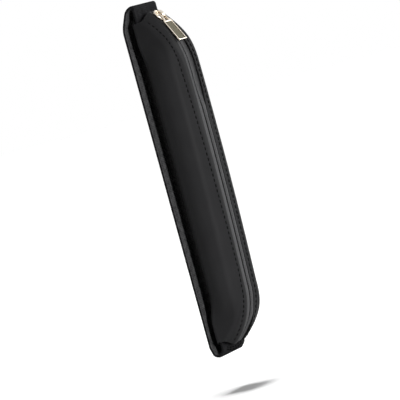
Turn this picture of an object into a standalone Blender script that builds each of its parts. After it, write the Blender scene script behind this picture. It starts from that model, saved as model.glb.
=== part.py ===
"""Zipped pen holder with an elastic band that straps it to a notebook's cover.

The pouch stands upright: Z runs along it, the zip faces -Y and the band runs down its back at +Y.
The origin is the middle of the back panel's outer face, where the notebook's cover lies.
Every wall of the pouch is a layer at some inset below the pouch's outer surface.
"""
import math

import bmesh
import bpy
from mathutils import Vector

MM = 0.001

# Fits
FIT = 0.3 * MM
OVERRUN = 1.0 * MM

# Elastic band
BAND_WIDTH = 25.0 * MM
BAND_THICKNESS = 1.5 * MM
COVER_GAP = 6.0 * MM
TAB_INSERT = 11.5 * MM
TOP_TAB_REACH = 4.5 * MM
BOTTOM_TAB_REACH = 4.5 * MM
FOLD_RADIUS = 0.95 * MM
TOP_FOLD_RISE = 0.3 * MM
TOP_SHOULDER_SHARE = 0.48
TOP_SHOULDER_RADIUS = 6.0 * MM
TOP_LOOP_DROP = 11.2 * MM
TOP_LOOP_RADIUS = 15.0 * MM
BOTTOM_LOOP_DROP = 5.6 * MM
BOTTOM_LOOP_RADIUS = 4.0 * MM
BOTTOM_SHOULDER_RADIUS = 2.0 * MM
BOTTOM_FOLD_SETBACK = 2.6 * MM

# Pouch outline
POUCH_TOP = 95.5 * MM
POUCH_BOTTOM = 95.5 * MM
TOP_RISE = 36.0 * MM
BOTTOM_RISE = 31.5 * MM
TOP_DEPTH = 22.4 * MM
BOTTOM_DEPTH = 20.6 * MM
FRONT_BOW = 0.8 * MM
TOP_DROOP = 5.5 * MM
BOTTOM_DROOP = 4.0 * MM
BOTTOM_LEAN = 1.5 * MM
BACK_CORNER = 6.0 * MM
FRONT_CORNER = 6.3 * MM
END_BACK_CORNER = 1.5 * MM
END_FRONT_CORNER = 3.0 * MM
MIN_CORNER = 0.25 * MM

# Walls
LEATHER = 1.0 * MM
PADDING = 0.8 * MM
PADDING_CORNER_SHARE = 0.5
LINING = 0.4 * MM
LINING_EDGE_CLEAR = 1.3 * MM
BACK_PANEL_WIDTH = 14.7 * MM
TOP_TAB_SET = 1.0 * MM
TOP_SEAM_ROOM = 2.8 * MM
BOTTOM_TAB_SET = 0.4 * MM
BOTTOM_SEAM_ROOM = 2.9 * MM

# Zip
ZIP_OPENING = 9.0 * MM
TAPE_SIDE_CLEAR = 3.8 * MM
TAPE_THICKNESS = 0.5 * MM
TAPE_GAP = 1.0 * MM
TAPE_END_GAP = 1.0 * MM
COIL_WIDTH = 1.9 * MM
COIL_THICKNESS = 1.4 * MM
COIL_END_GAP = 3.5 * MM

# Slider
SLIDER_LENGTH = 7.4 * MM
SLIDER_TAIL_WIDTH = 6.0 * MM
SLIDER_NOSE_WIDTH = 7.6 * MM
SLIDER_PLATE = 0.9 * MM
SLIDER_INNER_PLATE = 0.7 * MM
SLIDER_WEB = 0.4 * MM
SLIDER_FLANGE = 0.7 * MM
SLIDER_END_GAP = 4.2 * MM
CAP_WIDTH = 2.6 * MM
CAP_THICKNESS = 0.6 * MM

# Pull tab
PIVOT_HEIGHT = 1.15 * MM
PIVOT_SHIFT = 1.0 * MM
PULL_LENGTH = 18.3 * MM
PULL_WIDTH = 8.4 * MM
PULL_NECK_WIDTH = 5.0 * MM
PULL_NECK_LENGTH = 3.0 * MM
PULL_SHOULDER = 1.5 * MM
PULL_THICKNESS = 1.0 * MM
PULL_BAR = 1.0 * MM
PULL_EYE_LENGTH = 4.2 * MM
PULL_FRAME = 1.0 * MM
PULL_CORNER = 0.6 * MM
INSET_RECESS = 0.7 * MM
INSET_THICKNESS = 0.25 * MM
INSET_TOP_MARGIN = 0.8 * MM

# Stitches
STITCH_PITCH = 3.0 * MM
STITCH_LENGTH = 2.2 * MM
THREAD_WIDTH = 0.5 * MM
THREAD_HEIGHT = 0.35 * MM
THREAD_DIP = 0.12 * MM
SEAM_INSET = 4.9 * MM
TAB_STITCH_SPAN = 18.0 * MM
TAB_STITCH_STEP = 1.3 * MM
TAB_STITCH_ROWS = 2

# Angles
PULL_DIP = math.radians(10.5)
FULL_CORNER = math.radians(90.0)
HALF_CORNER = math.radians(45.0)

# Curve steps
BOTTOM_ARC_STEPS = 8
FRONT_STEPS = 4
TOP_ARC_STEPS = 9
CORNER_STEPS = 5
FOLD_STEPS = 6
SLIDER_STEPS = 4

# Worked-out sizes of the pouch
HALF_WIDTH = BAND_WIDTH / 2 + FIT + LEATHER
TOP_ARC_Z = POUCH_TOP - TOP_RISE
BOTTOM_ARC_Z = BOTTOM_RISE - POUCH_BOTTOM
TOP_END_DEPTH = 2 * LEATHER + TOP_TAB_SET + BAND_THICKNESS + TOP_SEAM_ROOM
BOTTOM_END_DEPTH = 2 * LEATHER + BOTTOM_TAB_SET + BAND_THICKNESS + BOTTOM_SEAM_ROOM - BOTTOM_LEAN
TOP_TAB_INNER_Z = POUCH_TOP - TAB_INSERT
BOTTOM_TAB_INNER_Z = TAB_INSERT - POUCH_BOTTOM
PADDING_INSET = LEATHER + FIT
LINING_INSET = PADDING_INSET + PADDING + FIT
TAPE_INSET = LEATHER + FIT
COIL_INSET = TAPE_INSET + TAPE_THICKNESS + FIT


def arc_radius(rise, drop):
    """Radius of the arc that falls back by drop over a height of rise."""
    return (rise * rise + drop * drop) / (2 * drop)


TOP_ARC_RADIUS = arc_radius(TOP_RISE, TOP_DEPTH - TOP_END_DEPTH)
BOTTOM_ARC_RADIUS = arc_radius(BOTTOM_RISE, BOTTOM_DEPTH - BOTTOM_END_DEPTH)
TOP_ARC_Y = TOP_ARC_RADIUS - TOP_DEPTH

COLOURS = {
    "leather": (0.012, 0.012, 0.013),
    "padding": (0.05, 0.05, 0.05),
    "lining": (0.02, 0.02, 0.022),
    "zip_tape": (0.03, 0.03, 0.032),
    "zip_coil": (0.015, 0.015, 0.015),
    "elastic": (0.03, 0.03, 0.03),
    "thread": (0.006, 0.006, 0.006),
    "gold_metal": (0.80, 0.68, 0.52),
    "inset_metal": (0.16, 0.145, 0.10),
}


def clear_scene():
    for obj in list(bpy.data.objects):
        bpy.data.objects.remove(obj, do_unlink=True)


def add_material(obj, finish):
    """Give the object a material of its own in the finish's colour."""
    material = bpy.data.materials.new(obj.name)
    material.use_nodes = True
    shader = material.node_tree.nodes["Principled BSDF"]
    shader.inputs["Base Color"].default_value = (*COLOURS[finish], 1.0)
    metal = finish.endswith("_metal")
    shader.inputs["Metallic"].default_value = 1.0 if metal else 0.0
    shader.inputs["Roughness"].default_value = 0.25 if metal else 0.6
    obj.data.materials.append(material)


def add_object(name, bm, finish):
    """Turn the mesh into a named object with outward faces."""
    bmesh.ops.recalc_face_normals(bm, faces=bm.faces)
    mesh = bpy.data.meshes.new(name)
    bm.to_mesh(mesh)
    bm.free()
    mesh.shade_smooth()
    mesh.set_sharp_from_angle(angle=HALF_CORNER)
    obj = bpy.data.objects.new(name, mesh)
    bpy.context.scene.collection.objects.link(obj)
    add_material(obj, finish)
    return obj


def add_pivot(name, location):
    """An empty on a joint's axis that carries the moving pieces."""
    pivot = bpy.data.objects.new(name, None)
    pivot.location = location
    bpy.context.scene.collection.objects.link(pivot)
    return pivot


def cut(obj, cutter):
    """Cut the hidden cutter out of the object."""
    cutter.hide_render = True
    cutter.display_type = "WIRE"
    modifier = obj.modifiers.new(cutter.name, "BOOLEAN")
    modifier.operation = "DIFFERENCE"
    modifier.solver = "EXACT"
    modifier.object = cutter


def add_sheet(bm, rows):
    """Thick sheet between the outer and inner points of each row, closed on all sides."""
    grid = []
    for outer, inner in rows:
        grid.append([bm.verts.new(point) for point in list(outer) + list(reversed(inner))])
    count = len(grid[0])
    half = count // 2
    for lower, upper in zip(grid, grid[1:]):
        for index in range(count):
            after = (index + 1) % count
            bm.faces.new((lower[index], lower[after], upper[after], upper[index]))
    for row in (grid[0], grid[-1]):
        for index in range(half - 1):
            far = count - 1 - index
            bm.faces.new((row[index], row[index + 1], row[far - 1], row[far]))


def sheet_object(name, rows, finish):
    bm = bmesh.new()
    add_sheet(bm, rows)
    return add_object(name, bm, finish)


def ramp(value, start, end):
    """Smooth step from 0 at start to 1 at end."""
    share = min(max((value - start) / (end - start), 0.0), 1.0)
    return share * share * (3 - 2 * share)


def end_share(z):
    """How far the section at height z has gone over to the flat end seam."""
    if z >= 0:
        return ramp(z, TOP_ARC_Z, TOP_TAB_INNER_Z)
    return ramp(z, BOTTOM_ARC_Z, BOTTOM_TAB_INNER_Z)


def corner_radius(z, middle, end, inset):
    return max(middle + (end - middle) * end_share(z) - inset, MIN_CORNER)


def back_y(z, inset):
    """Back wall's place at height z; the bottom end leans back towards the band."""
    return BOTTOM_LEAN * ramp(z, BOTTOM_ARC_Z, BOTTOM_TAB_INNER_Z) - inset


def arc_depth(z, arc_z, radius, depth, inset):
    height = z - arc_z
    return math.sqrt((radius - inset) ** 2 - height ** 2) - (radius - depth)


def front_depth(z, inset):
    """How far the front wall stands in front of the back panel's face at height z."""
    if z > TOP_ARC_Z:
        return arc_depth(z, TOP_ARC_Z, TOP_ARC_RADIUS, TOP_DEPTH, inset)
    if z < BOTTOM_ARC_Z:
        return arc_depth(z, BOTTOM_ARC_Z, BOTTOM_ARC_RADIUS, BOTTOM_DEPTH, inset)
    share = (z - BOTTOM_ARC_Z) / (TOP_ARC_Z - BOTTOM_ARC_Z)
    bow = FRONT_BOW * 4 * share * (1 - share)
    return BOTTOM_DEPTH + (TOP_DEPTH - BOTTOM_DEPTH) * share + bow - inset


def front_y(x, z, inset):
    """Front wall's place at x, over the flat front or round the front corner."""
    radius = corner_radius(z, FRONT_CORNER, END_FRONT_CORNER, inset)
    past_flat = max(abs(x) - (HALF_WIDTH - inset - radius), 0.0)
    return radius - math.sqrt(radius ** 2 - past_flat ** 2) - front_depth(z, inset)


def place(x, y, z):
    """World point of a pouch point, whose ends droop towards both sides."""
    width_share = min(abs(x) / HALF_WIDTH, 1.0) ** 2
    if z >= 0:
        return Vector((x, y, z - TOP_DROOP * width_share * ramp(z, TOP_ARC_Z, POUCH_TOP)))
    return Vector((x, y, z + BOTTOM_DROOP * width_share * ramp(z, BOTTOM_ARC_Z, -POUCH_BOTTOM)))


def arc_stations(arc_z, radius, end_z, steps):
    """Heights at even angles along an end arc, from its start to the pouch's end."""
    sweep = math.asin((end_z - arc_z) / radius)
    return [arc_z + radius * math.sin(sweep * step / steps) for step in range(steps + 1)]


def stations(bottom, top):
    """Section heights from bottom to top: the two end arcs and the long front between them."""
    heights = arc_stations(BOTTOM_ARC_Z, BOTTOM_ARC_RADIUS, -POUCH_BOTTOM, BOTTOM_ARC_STEPS)
    heights += arc_stations(TOP_ARC_Z, TOP_ARC_RADIUS, POUCH_TOP, TOP_ARC_STEPS)
    span = TOP_ARC_Z - BOTTOM_ARC_Z
    heights += [BOTTOM_ARC_Z + span * step / FRONT_STEPS for step in range(1, FRONT_STEPS)]
    inside = [z for z in sorted(heights) if bottom + FIT < z < top - FIT]
    return [bottom] + inside + [top]


def corner_arc(centre_x, centre_y, radius, start, end):
    angles = [start + (end - start) * step / CORNER_STEPS for step in range(CORNER_STEPS + 1)]
    return [(centre_x + radius * math.cos(a), centre_y + radius * math.sin(a)) for a in angles]


def side_section(z, inset, corner_share, back_x=None, front_x=None):
    """Side wall's outline at height z, from the back round the side to the front.

    corner_share is the share of each corner that it turns round; back_x and front_x carry it on
    over the flat back and front.
    """
    half = HALF_WIDTH - inset
    back_radius = corner_radius(z, BACK_CORNER, END_BACK_CORNER, inset)
    front_radius = corner_radius(z, FRONT_CORNER, END_FRONT_CORNER, inset)
    back = back_y(z, inset)
    front = -front_depth(z, inset)
    turn = FULL_CORNER * corner_share
    outline = corner_arc(half - back_radius, back - back_radius, back_radius, turn, 0.0)
    outline += corner_arc(half - front_radius, front + front_radius, front_radius, 0.0, -turn)
    if back_x is not None:
        outline.insert(0, (back_x, back))
    if front_x is not None:
        outline.append((front_x, front))
    return outline


def side_layer(name, side, finish, inset, thickness, bottom, top, **outline):
    """One layer of a side wall; side is 1 for the right and -1 for the left."""
    rows = []
    for z in stations(bottom, top):
        outer = side_section(z, inset, **outline)
        inner = side_section(z, inset + thickness, **outline)
        rows.append((
            [place(side * x, y, z) for x, y in outer],
            [place(side * x, y, z) for x, y in inner],
        ))
    return sheet_object(name, rows, finish)


def back_layer(name, finish, inset, thickness, bottom, top):
    """One layer of the back wall, flat where the notebook's cover lies."""
    half = BACK_PANEL_WIDTH / 2
    heights = [z for z in stations(bottom, top) if z <= BOTTOM_ARC_Z or z >= TOP_ARC_Z]
    rows = []
    for z in heights:
        outer = back_y(z, inset)
        inner = back_y(z, inset + thickness)
        rows.append((
            [place(-half, outer, z), place(half, outer, z)],
            [place(-half, inner, z), place(half, inner, z)],
        ))
    return sheet_object(name, rows, finish)


def front_layer(name, side, finish, inset, thickness, xs, bottom, top):
    """A strip along the front at the given distances from the zip's middle line."""
    rows = []
    for z in stations(bottom, top):
        outer = [place(side * x, front_y(x, z, inset), z) for x in xs]
        inner = [place(side * x, front_y(x, z, inset + thickness), z) for x in xs]
        rows.append((outer, inner))
    return sheet_object(name, rows, finish)


def build_panels():
    """Leather outside of the pouch: two side panels round a back panel."""
    seam_x = BACK_PANEL_WIDTH / 2 + FIT
    for name, side in (("left_panel", -1), ("right_panel", 1)):
        side_layer(name, side, "leather", 0.0, LEATHER, -POUCH_BOTTOM, POUCH_TOP,
                   corner_share=1.0, back_x=seam_x, front_x=ZIP_OPENING / 2)
    back_layer("back_panel", "leather", 0.0, LEATHER, -POUCH_BOTTOM, POUCH_TOP)


def build_padding():
    """Padding inside the side panels and the board inside the back, clear of the end tabs."""
    bottom = BOTTOM_TAB_INNER_Z + 2 * FIT
    top = TOP_TAB_INNER_Z - 2 * FIT
    for name, side in (("left_padding", -1), ("right_padding", 1)):
        side_layer(name, side, "padding", PADDING_INSET, PADDING, bottom, top,
                   corner_share=PADDING_CORNER_SHARE)
    back_layer("back_board", "padding", PADDING_INSET, PADDING, bottom, top)


def build_lining():
    """Fabric lining of the inside."""
    bottom = BOTTOM_TAB_INNER_Z + 2 * FIT
    top = TOP_TAB_INNER_Z - 2 * FIT
    seam_x = BACK_PANEL_WIDTH / 2 + FIT
    front_x = slider_flange_reach() + LINING_EDGE_CLEAR
    for name, side in (("left_lining", -1), ("right_lining", 1)):
        side_layer(name, side, "lining", LINING_INSET, LINING, bottom, top,
                   corner_share=1.0, back_x=seam_x, front_x=front_x)
    back_layer("back_lining", "lining", LINING_INSET, LINING, bottom, top)


def build_zip():
    """Two tapes with their coils on the inner side, so that the outer side is smooth."""
    flat_edge = HALF_WIDTH - FRONT_CORNER
    outer_edge = HALF_WIDTH - TAPE_SIDE_CLEAR
    tape_xs = [TAPE_GAP / 2, ZIP_OPENING / 2, flat_edge, (flat_edge + outer_edge) / 2, outer_edge]
    coil_xs = [TAPE_GAP / 2, TAPE_GAP / 2 + COIL_WIDTH]
    for name, side in (("left", -1), ("right", 1)):
        front_layer(name + "_zip_tape", side, "zip_tape", TAPE_INSET, TAPE_THICKNESS, tape_xs,
                    TAPE_END_GAP - POUCH_BOTTOM, POUCH_TOP - TAPE_END_GAP)
        front_layer(name + "_zip_coil", side, "zip_coil", COIL_INSET, COIL_THICKNESS, coil_xs,
                    COIL_END_GAP - POUCH_BOTTOM, POUCH_TOP - COIL_END_GAP)


def rounded_path(corners):
    """Points of a path whose corners, given as (point, radius), are turned by arcs."""
    points = [Vector(corners[0][0])]
    for index in range(1, len(corners) - 1):
        corner = Vector(corners[index][0])
        radius = corners[index][1]
        arrive = (corner - Vector(corners[index - 1][0])).normalized()
        leave = (Vector(corners[index + 1][0]) - corner).normalized()
        turn = arrive.angle(leave)
        start = corner - arrive * radius * math.tan(turn / 2)
        inward = (leave - arrive).normalized()
        centre = corner + inward * radius / math.cos(turn / 2)
        sign = 1.0 if arrive.cross(leave) > 0 else -1.0
        arm = start - centre
        for step in range(FOLD_STEPS + 1):
            angle = sign * turn * step / FOLD_STEPS
            turned = Vector((
                arm.x * math.cos(angle) - arm.y * math.sin(angle),
                arm.x * math.sin(angle) + arm.y * math.cos(angle),
            ))
            points.append(centre + turned)
    points.append(Vector(corners[-1][0]))
    return points


def path_sides(points, half_thickness):
    """The two edges of a ribbon of the given half thickness round a path."""
    left, right = [], []
    for index, point in enumerate(points):
        before = points[max(index - 1, 0)]
        after = points[min(index + 1, len(points) - 1)]
        arrive = (point - before).normalized() if index else (after - point).normalized()
        leave = (after - point).normalized() if index < len(points) - 1 else arrive
        normal_in = Vector((-arrive.y, arrive.x))
        normal_out = Vector((-leave.y, leave.x))
        mitre = (normal_in + normal_out).normalized()
        offset = mitre * (half_thickness / mitre.dot(normal_in))
        left.append(point + offset)
        right.append(point - offset)
    return left, right


def band_corners():
    """Corners of the band's middle line as (y, z), from the top tab round to the bottom tab."""
    half = BAND_THICKNESS / 2
    run_y = COVER_GAP + half
    top_y = -(LEATHER + TOP_TAB_SET + half)
    bottom_y = BOTTOM_LEAN - LEATHER - BOTTOM_TAB_SET - half
    top_fold = POUCH_TOP + TOP_TAB_REACH - half
    bottom_fold = half - POUCH_BOTTOM - BOTTOM_TAB_REACH
    shoulder_y = top_y + (run_y - top_y) * TOP_SHOULDER_SHARE
    return [
        ((top_y, TOP_TAB_INNER_Z), 0.0),
        ((top_y, top_fold + TOP_FOLD_RISE), FOLD_RADIUS),
        ((shoulder_y, top_fold - half), TOP_SHOULDER_RADIUS),
        ((run_y, top_fold - TOP_LOOP_DROP), TOP_LOOP_RADIUS),
        ((run_y, bottom_fold + BOTTOM_LOOP_DROP), BOTTOM_LOOP_RADIUS),
        ((run_y - BAND_THICKNESS, bottom_fold + half), BOTTOM_SHOULDER_RADIUS),
        ((bottom_y + BOTTOM_FOLD_SETBACK, bottom_fold), FOLD_RADIUS),
        ((bottom_y, -POUCH_BOTTOM - half), FOLD_RADIUS),
        ((bottom_y, BOTTOM_TAB_INNER_Z), 0.0),
    ]


def build_band():
    """Elastic band down the back, folded at both ends into tabs that are sewn into the seams."""
    outer, inner = path_sides(rounded_path(band_corners()), BAND_THICKNESS / 2)
    rows = []
    for x in (-BAND_WIDTH / 2, BAND_WIDTH / 2):
        rows.append(([(x, p.x, p.y) for p in outer], [(x, p.x, p.y) for p in inner]))
    sheet_object("elastic_band", rows, "elastic")


def slider_flange_reach():
    """Half width over the slider's flanges, which go round both coils."""
    return TAPE_GAP / 2 + COIL_WIDTH + FIT + SLIDER_FLANGE


def slider_angle():
    """Angle of the slider's middle along the top arc, above the arc's start."""
    return math.asin((TOP_RISE - SLIDER_END_GAP) / TOP_ARC_RADIUS)


def slider_outline(plate_half):
    """Half of the slider's section as (x, inset): plate, web, inner plate and flange."""
    plate_top = TAPE_INSET - FIT - SLIDER_PLATE
    plate_base = TAPE_INSET - FIT
    web = SLIDER_WEB / 2
    floor = COIL_INSET + COIL_THICKNESS + FIT
    base = floor + SLIDER_INNER_PLATE
    reach = slider_flange_reach()
    flange_top = TAPE_INSET + TAPE_THICKNESS + FIT
    return [
        (plate_half, plate_top),
        (plate_half, plate_base),
        (web, plate_base),
        (web, floor),
        (reach - SLIDER_FLANGE, floor),
        (reach - SLIDER_FLANGE, flange_top),
        (reach, flange_top),
        (reach, base),
    ]


def arc_point(x, inset, angle):
    """Point near the top arc, measured from the arc's centre."""
    radius = TOP_ARC_RADIUS - inset
    return Vector((x, -radius * math.cos(angle), radius * math.sin(angle)))


def build_slider_body(axis):
    """Two plates joined by a web in the gap between the tapes, bent along the zip's arc."""
    bm = bmesh.new()
    middle = slider_angle()
    sweep = SLIDER_LENGTH / TOP_ARC_RADIUS
    rings = []
    for step in range(SLIDER_STEPS + 1):
        share = step / SLIDER_STEPS
        width = SLIDER_TAIL_WIDTH + (SLIDER_NOSE_WIDTH - SLIDER_TAIL_WIDTH) * share
        angle = middle + sweep * (share - 0.5)
        right = slider_outline(width / 2)
        left = [(-x, inset) for x, inset in reversed(right)]
        rings.append([bm.verts.new(arc_point(x, inset, angle)) for x, inset in right + left])
    for lower, upper in zip(rings, rings[1:]):
        for index in range(len(lower)):
            after = (index + 1) % len(lower)
            bm.faces.new((lower[index], lower[after], upper[after], upper[index]))
    bm.faces.new(rings[0])
    bm.faces.new(rings[-1])
    body = add_object("slider_body", bm, "gold_metal")
    body.parent = axis


def slider_point(x, along, height):
    """Point over the slider's plate: along runs down the zip, height stands off the plate."""
    angle = slider_angle()
    top = arc_point(x, TAPE_INSET - FIT - SLIDER_PLATE, angle)
    down = Vector((0.0, -math.sin(angle), -math.cos(angle)))
    out = Vector((0.0, -math.cos(angle), math.sin(angle)))
    return top + down * along + out * height


def arch(reach, top, corner):
    """Arch as (along, height): two legs that stand on the plate and a top with cut corners."""
    right = [(reach - corner, top), (reach, top - corner), (reach, FIT)]
    return [(-along, height) for along, height in reversed(right)] + right


def build_slider_cap(axis):
    """Arched cap over the slider that holds the pull's bar."""
    clear = math.hypot(PULL_BAR, PULL_THICKNESS) / 2 + FIT / 3
    lift = PIVOT_HEIGHT + clear
    reach = PIVOT_SHIFT + clear
    profile_out = arch(reach + CAP_THICKNESS, lift + CAP_THICKNESS, CAP_THICKNESS)
    profile_in = arch(reach, lift, FIT)
    rows = []
    for x in (-CAP_WIDTH / 2, CAP_WIDTH / 2):
        rows.append((
            [slider_point(x, along, height) for along, height in profile_out],
            [slider_point(x, along, height) for along, height in profile_in],
        ))
    cap = sheet_object("slider_cap", rows, "gold_metal")
    cap.parent = axis


def add_plate(name, outline, back_y_face, front_y_face, finish, corner=0.0):
    """Flat plate with an outline in X and Z, its corners rounded where corner isn't zero."""
    bm = bmesh.new()
    ring = [bm.verts.new((x, back_y_face, z)) for x, z in outline]
    face = bm.faces.new(ring)
    moved = bmesh.ops.extrude_face_region(bm, geom=[face])
    verts = [item for item in moved["geom"] if isinstance(item, bmesh.types.BMVert)]
    bmesh.ops.translate(bm, verts=verts, vec=(0.0, front_y_face - back_y_face, 0.0))
    if corner:
        edges = [edge for edge in bm.edges if abs(edge.verts[0].co.y - edge.verts[1].co.y) > FIT]
        bmesh.ops.bevel(bm, geom=edges, offset=corner, segments=2, profile=0.5,
                        affect="EDGES", material=-1)
    return add_object(name, bm, finish)


def box_outline(half_width, top, bottom):
    return [(-half_width, top), (half_width, top), (half_width, bottom), (-half_width, bottom)]


def pull_outline():
    """Narrow neck round the eye, sloping shoulders and a straight body, hanging down -Z."""
    neck = PULL_NECK_WIDTH / 2
    body = PULL_WIDTH / 2
    top = PULL_BAR / 2
    shoulder = -PULL_NECK_LENGTH
    right = [(neck, top), (neck, shoulder), (body, shoulder - PULL_SHOULDER), (body, -PULL_LENGTH)]
    return right + [(-x, z) for x, z in reversed(right)]


def build_pull(axis):
    """Pull tab that hangs from its bar under the cap, with an inset plate in its frame."""
    half = PULL_THICKNESS / 2
    location = slider_point(0.0, PIVOT_SHIFT, PIVOT_HEIGHT)
    lean = -(slider_angle() - PULL_DIP)
    tab = add_plate("pull_tab", pull_outline(), half, -half, "gold_metal", PULL_CORNER)
    eye_half = CAP_WIDTH / 2 + FIT
    eye = add_plate("eye_cutter", box_outline(eye_half, -PULL_BAR / 2, -PULL_EYE_LENGTH),
                    half + OVERRUN, -half - OVERRUN, "gold_metal")
    inset_top = -(PULL_NECK_LENGTH + PULL_SHOULDER + INSET_TOP_MARGIN)
    inset_bottom = PULL_FRAME - PULL_LENGTH
    inset_half = PULL_WIDTH / 2 - PULL_FRAME
    floor = INSET_RECESS - half
    recess = add_plate("recess_cutter", box_outline(inset_half, inset_top, inset_bottom),
                       floor, -half - OVERRUN, "gold_metal")
    cut(tab, eye)
    cut(tab, recess)
    plate = box_outline(inset_half - FIT, inset_top - FIT, inset_bottom + FIT)
    inset = add_plate("pull_inset", plate, floor - FIT, floor - FIT - INSET_THICKNESS, "inset_metal")
    for piece in (tab, eye, recess, inset):
        piece.parent = axis
        piece.location = location
        piece.rotation_euler = (lean, 0.0, 0.0)


def front_run(distance, sweep_bottom):
    """Height of the point at a distance along the front, measured from the pouch's bottom end."""
    bottom_length = BOTTOM_ARC_RADIUS * sweep_bottom
    straight = TOP_ARC_Z - BOTTOM_ARC_Z
    if distance < bottom_length:
        return BOTTOM_ARC_Z - BOTTOM_ARC_RADIUS * math.sin(sweep_bottom - distance / BOTTOM_ARC_RADIUS)
    if distance < bottom_length + straight:
        return BOTTOM_ARC_Z + distance - bottom_length
    past = (distance - bottom_length - straight) / TOP_ARC_RADIUS
    return TOP_ARC_Z + TOP_ARC_RADIUS * math.sin(past)


def add_thread(name, count, locate):
    """One thread as a strip that rises over each stitch; locate gives its point at a distance.

    locate returns the point on the strip's underside, the way across it and the way outward.
    """
    rows = []
    for index in range(count):
        start = index * STITCH_PITCH
        end = start + STITCH_LENGTH
        for distance, height in ((start, THREAD_DIP), (start + THREAD_HEIGHT, THREAD_HEIGHT),
                                 (end - THREAD_HEIGHT, THREAD_HEIGHT), (end, THREAD_DIP)):
            point, across, outward = locate(distance)
            edges = [point - across * THREAD_WIDTH / 2, point + across * THREAD_WIDTH / 2]
            rows.append(([edge + outward * height for edge in edges], edges))
    sheet_object(name, rows, "thread")


def build_zip_stitches():
    """A row of stitches along each side of the zip, through the leather and the tape."""
    sweep_bottom = math.asin(BOTTOM_RISE / BOTTOM_ARC_RADIUS)
    sweep_top = math.asin(TOP_RISE / TOP_ARC_RADIUS)
    total = BOTTOM_ARC_RADIUS * sweep_bottom + TOP_ARC_Z - BOTTOM_ARC_Z + TOP_ARC_RADIUS * sweep_top
    count = int(total / STITCH_PITCH) - 1
    margin = (total - count * STITCH_PITCH) / 2
    x = ZIP_OPENING / 2 + SEAM_INSET
    across = Vector((1.0, 0.0, 0.0))

    def surface_point(distance, side):
        z = front_run(distance + margin, sweep_bottom)
        return place(side * x, front_y(x, z, -FIT), z)

    for name, side in (("left_zip_stitches", -1), ("right_zip_stitches", 1)):
        def locate(distance, side=side):
            point = surface_point(distance, side)
            tangent = surface_point(distance + THREAD_WIDTH, side) - point
            return point, across, across.cross(tangent).normalized()

        add_thread(name, count, locate)


def build_tab_stitches():
    """Rows of stitches across the bottom tab, just past the pouch's end."""
    face_y = BOTTOM_LEAN - LEATHER - BOTTOM_TAB_SET - BAND_THICKNESS - FIT
    count = round(TAB_STITCH_SPAN / STITCH_PITCH)
    length = (count - 1) * STITCH_PITCH + STITCH_LENGTH
    for row in range(1, TAB_STITCH_ROWS + 1):
        def locate(distance, step=TAB_STITCH_STEP * row):
            point = place(distance - length / 2, face_y, -POUCH_BOTTOM)
            point.z -= step
            return point, Vector((0.0, 0.0, 1.0)), Vector((0.0, -1.0, 0.0))

        add_thread(f"bottom_tab_stitches_{row}", count, locate)


def main():
    clear_scene()
    build_panels()
    build_padding()
    build_lining()
    build_zip()
    build_band()
    axis = add_pivot("slider_axis", (0.0, TOP_ARC_Y, TOP_ARC_Z))
    build_slider_body(axis)
    build_slider_cap(axis)
    build_pull(axis)
    build_zip_stitches()
    build_tab_stitches()


main()
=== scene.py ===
"""Looks of the zipped pen holder: leather pouch, zip, elastic band, slider and pull.

Z runs along the pouch, the zip faces -Y and the elastic band runs down the back at +Y.
Every wall of the pouch is a layer at some inset below its outer surface.
"""
import math

import bmesh
import bpy
from mathutils import Matrix, Vector


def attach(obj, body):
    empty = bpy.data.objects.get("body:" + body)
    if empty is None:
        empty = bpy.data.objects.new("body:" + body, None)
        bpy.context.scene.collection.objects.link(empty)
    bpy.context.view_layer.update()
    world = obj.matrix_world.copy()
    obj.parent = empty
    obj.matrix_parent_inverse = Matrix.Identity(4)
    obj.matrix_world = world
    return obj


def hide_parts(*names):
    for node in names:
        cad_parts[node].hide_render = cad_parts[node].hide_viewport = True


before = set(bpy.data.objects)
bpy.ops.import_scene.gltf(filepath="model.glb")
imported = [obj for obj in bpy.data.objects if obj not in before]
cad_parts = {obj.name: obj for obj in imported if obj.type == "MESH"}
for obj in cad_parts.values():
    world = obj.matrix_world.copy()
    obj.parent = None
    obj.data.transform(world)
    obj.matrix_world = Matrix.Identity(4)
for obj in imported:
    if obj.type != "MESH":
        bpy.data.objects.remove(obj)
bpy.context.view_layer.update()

MM = 0.001
FIT = 0.3 * MM
HAIRLINE = FIT / 3
TINY = 1e-7
SIDES = (("left", -1), ("right", 1))

# Elastic band
BAND_WIDTH = 25.0 * MM
BAND_THICKNESS = 1.5 * MM
COVER_GAP = 6.0 * MM
TAB_INSERT = 11.5 * MM
TAB_REACH = 4.5 * MM
FOLD_RADIUS = 0.95 * MM
TOP_FOLD_RISE = 0.3 * MM
TOP_SHOULDER_SHARE = 0.48
TOP_SHOULDER_RADIUS = 6.0 * MM
TOP_LOOP_DROP = 11.2 * MM
TOP_LOOP_RADIUS = 15.0 * MM
BOTTOM_LOOP_DROP = 5.6 * MM
BOTTOM_LOOP_RADIUS = 4.0 * MM
BOTTOM_SHOULDER_RADIUS = 2.0 * MM
BOTTOM_FOLD_SETBACK = 2.6 * MM
BAND_EDGE = 0.35 * MM

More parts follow.
